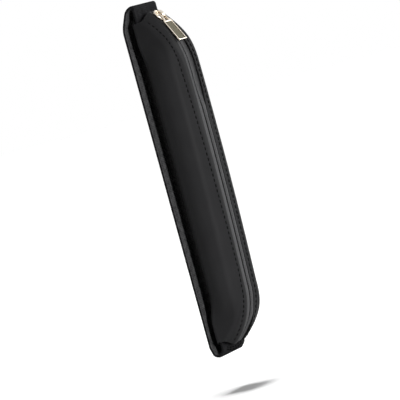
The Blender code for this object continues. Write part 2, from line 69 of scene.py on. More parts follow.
# Pouch
HALF_LENGTH = 95.5 * MM
TOP_RISE = 36.0 * MM
BOTTOM_RISE = 31.5 * MM
TOP_DEPTH = 22.4 * MM
BOTTOM_DEPTH = 20.6 * MM
FRONT_BOW = 0.8 * MM
TOP_DROOP = 5.5 * MM
BOTTOM_DROOP = 4.0 * MM
BOTTOM_LEAN = 1.5 * MM
BACK_CORNER = 6.0 * MM
FRONT_CORNER = 6.3 * MM
END_BACK_CORNER = 1.5 * MM
END_FRONT_CORNER = 3.0 * MM
MIN_CORNER = 0.25 * MM
SIDE_SWELL = 2.3 * MM
LEATHER = 1.0 * MM
LEATHER_EDGE = 0.22 * MM
PADDING = 0.8 * MM
PADDING_EDGE = 0.2 * MM
PADDING_BACK_SET = 1.9 * MM
PADDING_FRONT_SET = 2.0 * MM
LINING = 0.4 * MM
LINING_EDGE = 0.1 * MM
LINING_EDGE_CLEAR = 1.3 * MM
BACK_PANEL_WIDTH = 14.7 * MM
TOP_TAB_SET = 1.0 * MM
TOP_SEAM_ROOM = 2.8 * MM
BOTTOM_TAB_SET = 0.4 * MM
BOTTOM_SEAM_ROOM = 2.9 * MM

# Zip; a pair gives the distances above or below the pouch's middle where a change runs
ZIP_OPENING = 9.0 * MM
LEFT_SEAM_X = 9.0 * MM
LEFT_SEAM_SPREAD = 0.03
LEFT_SEAM_FLARE = 2.2 * MM
LEFT_FLARE_BELOW = (52.0 * MM, 80.0 * MM)
RIGHT_SEAM_X = 6.45 * MM
RIGHT_SEAM_SPREAD = 0.008
RIGHT_EDGE_X = 3.0 * MM
RIGHT_EDGE_ABOVE = (30.0 * MM, 48.0 * MM)
RIGHT_EDGE_BELOW = (75.0 * MM, 90.0 * MM)
LEFT_DIP = 0.04 * MM
RIGHT_DIP = 0.6 * MM
SEAM_WIDTH = 0.7 * MM
SEAM_BEAT = 0.35
SEAM_BULGE = 0.25 * MM
LEFT_FALL = 0.65 * MM
RIGHT_FALL = 0.15 * MM
FALL_REACH = 3.2 * MM
FALL_END_LOSS = 0.7
TAPE_SIDE_CLEAR = 3.8 * MM
LEFT_TAPE_RISE = 0.85 * MM
RIGHT_TAPE_RISE = 1.12 * MM
TAPE_LIP_SHARE = 0.6
TAPE_LIP_REACH = 1.5 * MM
TAPE_DIVE_START = 0.3 * MM
TAPE_DIVE_END = 0.4 * MM
TAPE_SINK_ABOVE = (34.0 * MM, 48.0 * MM)
TAPE_SINK_BELOW = (80.0 * MM, 90.0 * MM)
TAPE_THICKNESS = 0.5 * MM
TAPE_EDGE = 0.15 * MM
TAPE_GAP = 1.0 * MM
TAPE_END_GAP = 1.0 * MM
COIL_WIDTH = 1.9 * MM
COIL_THICKNESS = 1.4 * MM
COIL_PITCH = 1.3 * MM
COIL_WIRE = 0.5 * MM
COIL_END_GAP = 3.5 * MM
STITCH_PITCH = 3.0 * MM
STITCH_LENGTH = 1.9 * MM
THREAD_WIDTH = 0.8 * MM
THREAD_FLATNESS = 0.8
THREAD_DIVE = 0.22 * MM
TAB_STITCH_SPAN = 18.0 * MM
TAB_STITCH_STEP = 1.3 * MM

# Slider and pull
SLIDER_LENGTH = 7.4 * MM
SLIDER_TAIL_WIDTH = 6.0 * MM
SLIDER_NOSE_WIDTH = 7.6 * MM
SLIDER_PLATE = 0.9 * MM
SLIDER_ROUND = 0.28 * MM
SLIDER_END_CURVE = 0.85
SLIDER_SIDE_CURVE = 0.8
SLIDER_RIM = 0.6 * MM
RIM_START = math.radians(-42.0)
RIM_SWEEP = math.radians(264.0)
SLIDER_INNER_PLATE = 0.7 * MM
SLIDER_WEB = 0.4 * MM
SLIDER_FLANGE = 0.7 * MM
SLIDER_END_GAP = 4.2 * MM
CAP_WIDTH = 2.6 * MM
CAP_THICKNESS = 0.6 * MM
CAP_ROUND = 0.25 * MM
CAP_CURVE = 0.6
CAP_SHARP = 1.2
PIVOT_HEIGHT = 1.15 * MM
PIVOT_SHIFT = 1.0 * MM
PULL_LENGTH = 18.3 * MM
PULL_WIDTH = 8.4 * MM
PULL_NECK_WIDTH = 5.0 * MM
PULL_NECK_LENGTH = 3.0 * MM
PULL_SHOULDER = 1.5 * MM
PULL_THICKNESS = 1.0 * MM
PULL_BAR = 1.0 * MM
PULL_EYE_LENGTH = 4.2 * MM
PULL_FRAME = 0.65 * MM
PULL_CORNER = 0.6 * MM
PULL_HOLE_CORNER = 0.4 * MM
PULL_EDGE = 0.22 * MM
INSET_RECESS = 0.7 * MM
INSET_THICKNESS = 0.25 * MM
INSET_TOP_MARGIN = 0.8 * MM
INSET_CORNER = 0.35 * MM
PULL_DIP = math.radians(10.5)

# Columns and rows of the sheets' grids, and steps of the curves
PANEL_GRID = (76, 330)
PADDING_GRID = (30, 100)
LINING_GRID = (40, 100)
BACK_GRID = (24, 200)
TAPE_GRID = (40, 330)
BAND_GRID = (30, 520)
COIL_STEPS = 10
THREAD_SIDES = 8
FOLD_STEPS = 16
RIM_STEPS = 48
PLATE_STEPS = 40
CAP_STEPS = 18

# Floor and fill light
FLOOR_Z = -121.0 * MM
FLOOR_RADIUS = 6.0
FILL_LIGHT = 0.005

# Camera, with the picture's sizes in pixels
FRAME_WIDTH = 400
FOCAL_PIXELS = 2862.982
AXIS_PIXEL = (184.42, 179.31)
SENSOR_WIDTH = 36.0
CAMERA_AZIMUTH = math.radians(-59.244)
CAMERA_ELEVATION = math.radians(2.946)
CAMERA_ROLL = math.radians(-15.338)
CAMERA_DISTANCE = 1.587229
CAMERA_TARGET = Vector((0.0, 0.0015, 0.0))

# Worked-out sizes
HALF_WIDTH = BAND_WIDTH / 2 + FIT + LEATHER
TOP_ARC_Z = HALF_LENGTH - TOP_RISE
BOTTOM_ARC_Z = BOTTOM_RISE - HALF_LENGTH
TOP_END_DEPTH = 2 * LEATHER + TOP_TAB_SET + BAND_THICKNESS + TOP_SEAM_ROOM
BOTTOM_END_DEPTH = 2 * LEATHER + BOTTOM_TAB_SET + BAND_THICKNESS + BOTTOM_SEAM_ROOM - BOTTOM_LEAN
TAB_INNER_Z = HALF_LENGTH - TAB_INSERT
LAYER_END_Z = TAB_INNER_Z - 2 * FIT
BACK_SEAM_X = BACK_PANEL_WIDTH / 2 + FIT
POUCH_CORE_Y = -TOP_DEPTH / 2
BAND_CORE_Y = COVER_GAP / 2
PADDING_INSET = LEATHER + FIT
LINING_INSET = PADDING_INSET + PADDING + FIT
TAPE_INSET = LEATHER + FIT
COIL_INSET = TAPE_INSET + TAPE_THICKNESS + FIT


def arc_radius(rise, drop):
    return (rise * rise + drop * drop) / (2 * drop)


TOP_ARC_RADIUS = arc_radius(TOP_RISE, TOP_DEPTH - TOP_END_DEPTH)
BOTTOM_ARC_RADIUS = arc_radius(BOTTOM_RISE, BOTTOM_DEPTH - BOTTOM_END_DEPTH)
TOP_ARC_Y = TOP_ARC_RADIUS - TOP_DEPTH


# Pouch surface

def ramp(value, start, end):
    share = min(max((value - start) / (end - start), 0.0), 1.0)
    return share * share * (3 - 2 * share)


def end_share(z):
    """How far the section at height z has gone over to the flat end seam."""
    if z >= 0:
        return ramp(z, TOP_ARC_Z, TAB_INNER_Z)
    return ramp(z, BOTTOM_ARC_Z, -TAB_INNER_Z)


def corner_radius(z, middle, end, inset):
    return max(middle + (end - middle) * end_share(z) - inset, MIN_CORNER)


def back_y(z, inset):
    return BOTTOM_LEAN * ramp(z, BOTTOM_ARC_Z, -TAB_INNER_Z) - inset


def arc_depth(height, radius, depth, inset):
    return math.sqrt((radius - inset) ** 2 - height ** 2) - (radius - depth)


def front_depth(z, inset):
    """How far the front wall stands in front of the back panel's face."""
    if z > TOP_ARC_Z:
        return arc_depth(z - TOP_ARC_Z, TOP_ARC_RADIUS, TOP_DEPTH, inset)
    if z < BOTTOM_ARC_Z:
        return arc_depth(z - BOTTOM_ARC_Z, BOTTOM_ARC_RADIUS, BOTTOM_DEPTH, inset)
    share = (z - BOTTOM_ARC_Z) / (TOP_ARC_Z - BOTTOM_ARC_Z)
    bow = FRONT_BOW * 4 * share * (1 - share)
    return BOTTOM_DEPTH + (TOP_DEPTH - BOTTOM_DEPTH) * share + bow - inset


def place(x, y, z):
    """World point of a pouch point, whose ends droop towards both sides."""
    width_share = min(abs(x) / HALF_WIDTH, 1.0) ** 2
    if z >= 0:
        return Vector((x, y, z - TOP_DROOP * width_share * ramp(z, TOP_ARC_Z, HALF_LENGTH)))
    return Vector((x, y, z + BOTTOM_DROOP * width_share * ramp(z, BOTTOM_ARC_Z, -HALF_LENGTH)))


def zip_run(z):
    """Distance along the front from the pouch's middle to height z."""
    if z > TOP_ARC_Z:
        return TOP_ARC_Z + TOP_ARC_RADIUS * math.asin((z - TOP_ARC_Z) / TOP_ARC_RADIUS)
    if z < BOTTOM_ARC_Z:
        return BOTTOM_ARC_Z + BOTTOM_ARC_RADIUS * math.asin((z - BOTTOM_ARC_Z) / BOTTOM_ARC_RADIUS)
    return z


def zip_height(run):
    """Height of the point at a distance along the front from the pouch's middle."""
    if run > TOP_ARC_Z:
        return TOP_ARC_Z + TOP_ARC_RADIUS * math.sin((run - TOP_ARC_Z) / TOP_ARC_RADIUS)
    if run < BOTTOM_ARC_Z:
        return BOTTOM_ARC_Z + BOTTOM_ARC_RADIUS * math.sin((run - BOTTOM_ARC_Z) / BOTTOM_ARC_RADIUS)
    return run


TOP_RUN = zip_run(HALF_LENGTH)
BOTTOM_RUN = zip_run(-HALF_LENGTH)


class Section:
    """The side wall's outline at one height, from the back seam round the side to the zip.

    Its five runs are the flat back, the back corner, the side, the front corner and the flat front.
    """

    def __init__(self, z, inset, back_x, front_x):
        self.z = z
        self.inset = inset
        self.half = HALF_WIDTH - inset
        self.back_radius = corner_radius(z, BACK_CORNER, END_BACK_CORNER, inset)
        self.front_radius = corner_radius(z, FRONT_CORNER, END_FRONT_CORNER, inset)
        self.back_x = min(back_x, self.half - self.back_radius)
        self.back = back_y(z, inset)
        self.front = -front_depth(z, inset)
        self.runs = [
            self.half - self.back_radius - self.back_x,
            self.back_radius * math.pi / 2,
            max(self.back - self.back_radius - self.front - self.front_radius, 0.0),
            self.front_radius * math.pi / 2,
            max(self.half - self.front_radius - front_x, 0.0),
        ]
        self.girth = sum(self.runs)
        self.margin = HALF_WIDTH - (self.front_radius + inset) - ZIP_OPENING / 2

    def locate(self, share):
        """The run that a share of the girth falls in, and the distance along it."""
        distance = self.girth * share
        run = 0
        while run < 4 and distance > self.runs[run]:
            distance -= self.runs[run]
            run += 1
        return run, distance

    def point(self, share):
        """Outline point and its outward normal at a share of the girth."""
        run, distance = self.locate(share)
        if run == 0:
            return self.back_x + distance, self.back, 0.0, 1.0
        if run == 1:
            angle = math.pi / 2 - distance / self.back_radius
            cos, sin = math.cos(angle), math.sin(angle)
            return (self.half - self.back_radius * (1 - cos),
                    self.back - self.back_radius * (1 - sin), cos, sin)
        if run == 2:
            return self.half, self.back - self.back_radius - distance, 1.0, 0.0
        if run == 3:
            angle = distance / self.front_radius
            cos, sin = math.cos(angle), math.sin(angle)
            return (self.half - self.front_radius * (1 - cos),
                    self.front + self.front_radius * (1 - sin), cos, -sin)
        return self.half - self.front_radius - distance, self.front, 0.0, -1.0

    def from_zip(self, share):
        """Distance from the edge of the zip's opening, on the outer skin whatever the inset."""
        run, distance = self.locate(share)
        if run == 4:
            return self.margin - distance
        outer = [self.runs[0], (self.back_radius + self.inset) * math.pi / 2, self.runs[2],
                 (self.front_radius + self.inset) * math.pi / 2]
        ahead = 1 - distance / self.runs[run] if self.runs[run] else 0.0
        return self.margin + sum(outer[run + 1:]) + outer[run] * ahead

    def swell(self, distance):
        """How far the padding presses the side out, at a distance from the zip's opening."""
        span = (self.back_radius + self.front_radius + 2 * self.inset) * math.pi / 2 + self.runs[2]
        inner = min(max((distance - self.margin) / span, 0.0), 1.0)
        return SIDE_SWELL * math.sin(math.pi * inner) ** 3 * (1 - end_share(self.z))


def seam_x(side, z):
    """Distance of the stitches from the zip's middle line.

    The margins widen upwards, and the left one also flares at the bottom.
    """
    if side < 0:
        flare = LEFT_SEAM_FLARE * ramp(-z, *LEFT_FLARE_BELOW)
        return LEFT_SEAM_X + LEFT_SEAM_SPREAD * z + flare
    return RIGHT_SEAM_X + RIGHT_SEAM_SPREAD * z


def zip_edge_x(side, z):
    """Distance of the leather's edge from the zip's middle line.

    The right edge comes closer to the zip, apart from the slider's way and the bottom end.
    """
    if side < 0:
        return ZIP_OPENING / 2
    clear = max(ramp(z, *RIGHT_EDGE_ABOVE), ramp(-z, *RIGHT_EDGE_BELOW))
    return RIGHT_EDGE_X + (ZIP_OPENING / 2 - RIGHT_EDGE_X) * clear


def seam_relief(edge_distance, seam, run, depth):
    """Height of the leather by the zip: pulled in along the seam and full beside it."""
    beat = math.cos(2 * math.pi * (run - STITCH_LENGTH / 2) / STITCH_PITCH)
    offset = (edge_distance - seam) / SEAM_WIDTH
    dip = -depth * math.exp(-offset * offset) * (1.0 - SEAM_BEAT * beat)
    inner = min(max(edge_distance / seam, 0.0), 1.0)
    return dip + SEAM_BULGE * math.sin(math.pi * inner)


# Mesh and piece helpers

def mesh_object(name, bm):
    """Object with the finished mesh, which is used up."""
    mesh = bpy.data.meshes.new(name)
    bm.to_mesh(mesh)
    bm.free()
    obj = bpy.data.objects.new(name, mesh)
    bpy.context.scene.collection.objects.link(obj)
    return obj


def new_piece(name, bm, material, body, node):
    """Piece that rides on a body and stands for a node."""
    obj = mesh_object(name, bm)
    obj.data.shade_smooth()
    obj.data.materials.append(material)
    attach(obj, body)
    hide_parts(node)
    return obj


def warped_grid(grid, point, size):
    """Grid whose points are moved onto a surface; its UV map is in metres of the flat cut."""
    bm = bmesh.new()
    uv = bm.loops.layers.uv.new("UVMap")
    bmesh.ops.create_grid(bm, x_segments=grid[0], y_segments=grid[1], size=0.5)
    shares = {vert: (vert.co.x + 0.5, vert.co.y + 0.5) for vert in bm.verts}
    for face in bm.faces:
        for loop in face.loops:
            across, along = shares[loop.vert]
            loop[uv].uv = (across * size[0], along * size[1])
    for vert, (across, along) in shares.items():
        vert.co = point(across, along)
    return bm


def face_out(bm, outward):
    """Turn the whole sheet so that its middle face looks outward."""
    bm.normal_update()
    bm.faces.ensure_lookup_table()
    middle = bm.faces[len(bm.faces) // 2]
    if middle.normal.dot(outward(middle.calc_center_median())) < 0:
        bmesh.ops.reverse_faces(bm, faces=bm.faces)


def extrude_by(bm, faces, vector):
    """Extrude the faces along the vector and give their new points."""
    grown = bmesh.ops.extrude_face_region(bm, geom=faces)
    moved = [item for item in grown["geom"] if isinstance(item, bmesh.types.BMVert)]
    bmesh.ops.translate(bm, verts=moved, vec=vector)
    return moved


def round_edges(obj, width):
    rounding = obj.modifiers.new("rounded_edges", "BEVEL")
    rounding.width = width
    rounding.segments = 3
    rounding.limit_method = "ANGLE"
    rounding.angle_limit = math.radians(50)


def thicken(obj, thickness, edge):
    """Wall inwards from the sheet, with rounded cut edges."""
    wall = obj.modifiers.new("wall", "SOLIDIFY")
    wall.thickness = thickness
    wall.offset = -1.0
    wall.use_even_offset = True
    round_edges(obj, edge)


def paint_rim(obj):
    """Cut-edge look on the wall's inner face and edges."""
    obj.data.materials.append(CUT_EDGE_LOOK)
    obj.modifiers["wall"].material_offset = 1
    obj.modifiers["wall"].material_offset_rim = 1


def add_tube(bm, name, points, radius, roundness):
    """Round bar along the points, its ends capped."""
    curve = bpy.data.curves.new(name, "CURVE")
    curve.dimensions = "3D"
    spline = curve.splines.new("POLY")
    spline.points.add(len(points) - 1)
    for spot, point in zip(spline.points, points):
        spot.co = (*point, 1.0)
    curve.bevel_depth = radius
    curve.bevel_resolution = roundness
    curve.use_fill_caps = True
    source = bpy.data.objects.new(name, curve)
    bm.from_mesh(source.to_mesh())
    source.to_mesh_clear()
    bpy.data.objects.remove(source)


def smooth_by_angle(obj, degrees=40):
    obj.data.shade_smooth()
    obj.data.set_sharp_from_angle(angle=math.radians(degrees))


def away_from_core(point):
    return Vector((point.x, point.y - POUCH_CORE_Y, 0.0))


def pressed(value, power):
    """A sine or cosine raised to a power, its sign kept, for a squarer curve."""
    return math.copysign(abs(value) ** power, value)


# Materials

def new_material(name):
    material = bpy.data.materials.new(name)
    material.use_nodes = True
    tree = material.node_tree
    return material, tree, tree.nodes["Principled BSDF"]


def feed(tree, socket, value):
    """Set a plain value on the socket, or link a node's output to it."""
    if isinstance(value, bpy.types.NodeSocket):
        tree.links.new(value, socket)
    else:
        socket.default_value = value


def set_inputs(tree, node, **inputs):
    """Feed the node's sockets, named with underscores for spaces."""
    for key, value in inputs.items():
        feed(tree, node.inputs[key.replace("_", " ")], value)


def add_node(tree, kind, **inputs):
    node = tree.nodes.new(kind)
    set_inputs(tree, node, **inputs)
    return node


def coordinates(tree, use_uv=False, scale=(1.0, 1.0, 1.0)):
    source = tree.nodes.new("ShaderNodeTexCoord").outputs["UV" if use_uv else "Object"]
    return add_node(tree, "ShaderNodeMapping", Vector=source, Scale=scale).outputs["Vector"]


def noise_node(tree, vector, scale, detail=3.0, roughness=0.5):
    node = add_node(tree, "ShaderNodeTexNoise", Vector=vector, Scale=scale, Detail=detail,
                    Roughness=roughness)
    return node.outputs["Fac"]


def cell_node(tree, vector, scale):
    node = add_node(tree, "ShaderNodeTexVoronoi", Vector=vector, Scale=scale)
    node.feature = "DISTANCE_TO_EDGE"
    return node.outputs["Distance"]


def wave_node(tree, vector, scale, direction, distortion=0.0):
    node = add_node(tree, "ShaderNodeTexWave", Vector=vector, Scale=scale, Distortion=distortion)
    node.bands_direction = direction
    node.wave_profile = "SIN"
    return node.outputs["Fac"]


def math_node(tree, operation, first, second):
    node = tree.nodes.new("ShaderNodeMath")
    node.operation = operation
    feed(tree, node.inputs[0], first)
    feed(tree, node.inputs[1], second)
    return node.outputs[0]


def average(tree, first, second):
    return math_node(tree, "MULTIPLY", math_node(tree, "ADD", first, second), 0.5)


def map_range(tree, value, low, high):
    node = add_node(tree, "ShaderNodeMapRange", Value=value, To_Min=low, To_Max=high)
    return node.outputs["Result"]


def mix_colour(tree, factor, first, second):
    node = tree.nodes.new("ShaderNodeMix")
    node.data_type = "RGBA"
    set_inputs(tree, node, A=(*first, 1.0), B=(*second, 1.0), Factor=factor)
    return node.outputs["Result"]


def bump(tree, height, strength, distance):
    node = add_node(tree, "ShaderNodeBump", Height=height, Strength=strength, Distance=distance)
    return node.outputs["Normal"]


def leather_material():
    """Smooth black coated leather with a fine pebble and soft wear in its gloss."""
    material, tree, shader = new_material("black_leather")
    place_at = coordinates(tree)
    patches = noise_node(tree, place_at, 60.0, 4.0)
    pebble = cell_node(tree, place_at, 1500.0)
    grain = noise_node(tree, place_at, 4000.0, 2.0)
    height = math_node(tree, "ADD", math_node(tree, "MULTIPLY", pebble, 3.0), grain)
    set_inputs(
        tree, shader,
        Base_Color=mix_colour(tree, patches, (0.0130, 0.0130, 0.0136), (0.0180, 0.0180, 0.0187)),
        Roughness=map_range(tree, patches, 0.36, 0.46),
        Specular_IOR_Level=0.012,
        Normal=bump(tree, height, 0.12, 0.00006))
    return material


def cut_edge_material():
    """Dull black of the leather's painted cut edges."""
    material, tree, shader = new_material("black_cut_edge")
    speckle = noise_node(tree, coordinates(tree), 3000.0)
    set_inputs(
        tree, shader,
        Base_Color=mix_colour(tree, speckle, (0.003, 0.003, 0.003), (0.008, 0.008, 0.008)),
        Roughness=0.9,
        Specular_IOR_Level=0.03)
    return material


def elastic_material(name, dark, light):
    """Black woven elastic: lengthwise ribs crossed by the weft."""
    material, tree, shader = new_material(name)
    flat = coordinates(tree, use_uv=True)
    ribs = wave_node(tree, flat, 210.0, "X")
    weft = wave_node(tree, flat, 330.0, "Y", 1.5)
    patches = map_range(tree, noise_node(tree, flat, 300.0, 4.0, 0.65), -1.1, 2.1)
    weave = average(tree, ribs, weft)
    set_inputs(
        tree, shader,
        Base_Color=mix_colour(tree, average(tree, weave, patches), dark, light),
        Roughness=0.85,
        Specular_IOR_Level=0.02,
        Normal=bump(tree, weave, 0.6, 0.00018))
    return material


def tape_material():
    """Black woven zip tape with a fine twill."""
    material, tree, shader = new_material("black_zip_tape")
    flat = coordinates(tree, use_uv=True)
    twill = wave_node(tree, flat, 420.0, "DIAGONAL", 0.6)
    cross = wave_node(tree, flat, 520.0, "Y", 0.8)
    weave = average(tree, twill, cross)
    shade = average(tree, weave, noise_node(tree, flat, 500.0))
    set_inputs(
        tree, shader,
        Base_Color=mix_colour(tree, shade, (0.012, 0.012, 0.0125), (0.049, 0.049, 0.051)),
        Roughness=0.75,
        Specular_IOR_Level=0.25,
        Normal=bump(tree, weave, 0.5, 0.00012))
    return material


def lining_material():
    """Black plain weave."""
    material, tree, shader = new_material("black_lining")
    flat = coordinates(tree, use_uv=True)
    warp = wave_node(tree, flat, 225.0, "X")
    weft = wave_node(tree, flat, 225.0, "Y")
    weave = math_node(tree, "MULTIPLY", warp, weft)
    set_inputs(
        tree, shader,
        Base_Color=mix_colour(tree, weave, (0.010, 0.010, 0.011), (0.03, 0.03, 0.032)),
        Roughness=0.85,
        Specular_IOR_Level=0.2,
        Normal=bump(tree, weave, 0.4, 0.0001))
    return material


def foam_material():
    """Dark closed-cell foam sheet."""
    material, tree, shader = new_material("dark_foam")
    cells = cell_node(tree, coordinates(tree), 2500.0)
    set_inputs(
        tree, shader,
        Base_Color=mix_colour(tree, cells, (0.02, 0.02, 0.02), (0.07, 0.07, 0.07)),
        Roughness=0.95,
        Normal=bump(tree, cells, 0.5, 0.0001))
    return material


def thread_material():
    """Black twisted sewing thread."""
    material, tree, shader = new_material("black_thread")
    twist = wave_node(tree, coordinates(tree), 900.0, "DIAGONAL", 0.5)
    set_inputs(
        tree, shader,
        Base_Color=mix_colour(tree, twist, (0.0008, 0.0008, 0.0008), (0.003, 0.003, 0.003)),
        Roughness=0.8,
        Specular_IOR_Level=0.03,
        Normal=bump(tree, twist, 0.5, 0.00008))
    return material


def nylon_material():
    """Black nylon of the zip's spiral."""
    material, tree, shader = new_material("black_nylon")
    patches = noise_node(tree, coordinates(tree), 900.0)
    set_inputs(
        tree, shader,
        Base_Color=mix_colour(tree, patches, (0.008, 0.008, 0.008), (0.02, 0.02, 0.02)),
        Roughness=map_range(tree, patches, 0.35, 0.5))
    return material


def gold_material():
    """Polished pale gold plating with faint hairline scratches."""
    material, tree, shader = new_material("pale_gold")
    patches = noise_node(tree, coordinates(tree), 350.0, 4.0)
    scratches = noise_node(tree, coordinates(tree, scale=(6000.0, 500.0, 500.0)), 1.0, 2.0)
    set_inputs(
        tree, shader,
        Base_Color=mix_colour(tree, patches, (0.58, 0.51, 0.42), (0.78, 0.71, 0.61)),
        Metallic=1.0,
        Roughness=map_range(tree, patches, 0.14, 0.26),
        Normal=bump(tree, scratches, 0.03, 0.00002))
    return material


def inset_material():
    """Dull olive-grey plate with a fine blasted grain."""
    material, tree, shader = new_material("olive_plate")
    speckle = noise_node(tree, coordinates(tree), 2600.0, 4.0, 0.7)
    set_inputs(
        tree, shader,
        Base_Color=mix_colour(tree, speckle, (0.032, 0.028, 0.016), (0.104, 0.093, 0.056)),
        Metallic=0.7,
        Roughness=map_range(tree, speckle, 0.45, 0.7),
        Normal=bump(tree, speckle, 0.3, 0.00008))
    return material


LEATHER_LOOK = leather_material()
CUT_EDGE_LOOK = cut_edge_material()
ELASTIC_LOOK = elastic_material("black_elastic", (0.005, 0.005, 0.0054), (0.020, 0.020, 0.0215))
# Lighter copy of the same black elastic for the band's inner face: painted light, standing in for
# lamp light on the strip seen in the gap beside the pouch.
ELASTIC_BACK_PAINTED_LIGHT_LOOK = elastic_material("black_elastic_back_painted_light", (0.008, 0.008, 0.0083),
                                     (0.085, 0.085, 0.087))
TAPE_LOOK = tape_material()
LINING_LOOK = lining_material()
FOAM_LOOK = foam_material()
THREAD_LOOK = thread_material()
NYLON_LOOK = nylon_material()
GOLD_LOOK = gold_material()
INSET_LOOK = inset_material()


# Pouch walls

def build_side_wall(name, side, material, inset, ends, back_x, front_x, grid, relief=False):
    """One layer of a side wall; relief adds the leather's seam and its own edge by the zip."""
    low, high = (zip_run(z) for z in ends)
    middle = Section(0.0, inset, back_x, front_x)
    sections = {}

    def point(across, along):
        run = low + (high - low) * along
        key = round(along * grid[1])
        if key not in sections:
            z = zip_height(run)
            edge_x = zip_edge_x(side, z) if relief else front_x
            sections[key] = Section(z, inset, back_x, edge_x)
        section = sections[key]
        x, y, normal_x, normal_y = section.point(across)
        distance = section.from_zip(across)
        seam = seam_x(side, section.z) - ZIP_OPENING / 2
        depth, fall = (LEFT_DIP, LEFT_FALL) if side < 0 else (RIGHT_DIP, RIGHT_FALL)
        past = max(distance - seam, 0.0) / FALL_REACH
        lift = section.swell(distance)
        lift -= fall * (1 - FALL_END_LOSS * end_share(section.z)) * past * math.exp(1 - past)
        if relief:
            lift += seam_relief(distance, seam, run, depth)
        return place(side * (x + normal_x * lift), y + normal_y * lift, section.z)

    bm = warped_grid(grid, point, (middle.girth, high - low))
    face_out(bm, away_from_core)
    return new_piece(name, bm, material, "pouch", name.replace("_skin", ""))


def build_panels():
    ends = (-HALF_LENGTH, HALF_LENGTH)
    for word, side in SIDES:
        panel = build_side_wall(word + "_panel_skin", side, LEATHER_LOOK, 0.0, ends, BACK_SEAM_X,
                                ZIP_OPENING / 2, PANEL_GRID, relief=True)
        thicken(panel, LEATHER, LEATHER_EDGE)
        paint_rim(panel)


def build_inner_layers():
    """Padding and lining inside each side wall."""
    bottom, top = ends = (-LAYER_END_Z, LAYER_END_Z)
    lining_x = TAPE_GAP / 2 + COIL_WIDTH + FIT + SLIDER_FLANGE + LINING_EDGE_CLEAR
    for word, side in SIDES:
        padding = build_side_wall(word + "_padding_skin", side, FOAM_LOOK, PADDING_INSET, ends,
                                  HALF_WIDTH - BACK_CORNER + PADDING_BACK_SET,
                                  HALF_WIDTH - FRONT_CORNER + PADDING_FRONT_SET, PADDING_GRID)
        thicken(padding, PADDING, PADDING_EDGE)
        lining = build_side_wall(word + "_lining_skin", side, LINING_LOOK, LINING_INSET, ends,
                                 BACK_SEAM_X, lining_x, LINING_GRID)
        thicken(lining, LINING, LINING_EDGE)
        girth = Section(0.0, LINING_INSET, BACK_SEAM_X, lining_x).girth
        zip_run(top) - zip_run(bottom)


def build_back_layer(name, material, inset, bottom, top, thickness):
    """One layer of the back wall, flat where the notebook's cover lies."""
    half = BACK_PANEL_WIDTH / 2

    def point(across, along):
        z = bottom + (top - bottom) * along
        return place(half * (2 * across - 1), back_y(z, inset), z)

    bm = warped_grid(BACK_GRID, point, (BACK_PANEL_WIDTH, top - bottom))
    face_out(bm, lambda centre: Vector((0.0, 1.0, 0.0)))
    wall = new_piece(name + "_skin", bm, material, "pouch", name)
    thicken(wall, thickness, thickness / 4)
    return wall


def build_back():
    panel = build_back_layer("back_panel", LEATHER_LOOK, 0.0, -HALF_LENGTH, HALF_LENGTH, LEATHER)
    paint_rim(panel)
    low, high = -LAYER_END_Z, LAYER_END_Z
    build_back_layer("back_board", FOAM_LOOK, PADDING_INSET, low, high, PADDING)
    lining = build_back_layer("back_lining", LINING_LOOK, LINING_INSET, low, high, LINING)


# Zip

def front_surface(x, z, inset):
    """Point of the front wall at a distance from the zip's middle line."""
    radius = corner_radius(z, FRONT_CORNER, END_FRONT_CORNER, inset)
    past_flat = max(abs(x) - (HALF_WIDTH - inset - radius), 0.0)
    y = radius - math.sqrt(max(radius ** 2 - past_flat ** 2, 0.0)) - front_depth(z, inset)
    return place(x, y, z)


def tape_lift(side, x, z):
    """How far the tape stands up between the leather's edges, away from the slider's way."""
    edge = zip_edge_x(side, z)
    rise = LEFT_TAPE_RISE if side < 0 else RIGHT_TAPE_RISE
    rise *= 1 - ramp(x, edge - TAPE_DIVE_START, edge + TAPE_DIVE_END)
    rise *= TAPE_LIP_SHARE + (1 - TAPE_LIP_SHARE) * ramp(x, TAPE_GAP / 2, TAPE_LIP_REACH)
    return rise * (1 - max(ramp(z, *TAPE_SINK_ABOVE), ramp(-z, *TAPE_SINK_BELOW)))


def build_tapes():
    low, high = zip_run(TAPE_END_GAP - HALF_LENGTH), zip_run(HALF_LENGTH - TAPE_END_GAP)
    width = HALF_WIDTH - TAPE_SIDE_CLEAR - TAPE_GAP / 2
    for word, side in SIDES:
        def point(across, along, side=side):
            x = TAPE_GAP / 2 + width * across
            z = zip_height(low + (high - low) * along)
            return front_surface(side * x, z, TAPE_INSET - tape_lift(side, x, z))

        bm = warped_grid(TAPE_GRID, point, (width, high - low))
        face_out(bm, lambda centre: Vector((0.0, -1.0, 0.0)))
        tape = new_piece(word + "_zip_tape_skin", bm, TAPE_LOOK, "pouch", word + "_zip_tape")
        thicken(tape, TAPE_THICKNESS, TAPE_EDGE)


def build_coils():
    """Nylon spirals under the tapes' inner edges."""
    low, high = zip_run(COIL_END_GAP - HALF_LENGTH), zip_run(HALF_LENGTH - COIL_END_GAP)
    turns = int((high - low) / COIL_PITCH)
    for word, side in SIDES:
        points = []
        for index in range(turns * COIL_STEPS + 1):
            angle = 2 * math.pi * index / COIL_STEPS
            run = low + (high - low) * index / (turns * COIL_STEPS)
            x = TAPE_GAP / 2 + COIL_WIDTH / 2 - (COIL_WIDTH - COIL_WIRE) / 2 * math.cos(angle)
            inset = COIL_INSET + COIL_THICKNESS / 2
            inset -= (COIL_THICKNESS - COIL_WIRE) / 2 * math.sin(angle)
            points.append(front_surface(side * x, zip_height(run), inset))
        bm = bmesh.new()
        add_tube(bm, word + "_coil_path", points, COIL_WIRE / 2, 1)
        new_piece(word + "_zip_coil_spiral", bm, NYLON_LOOK, "pouch", word + "_zip_coil")


# Stitches

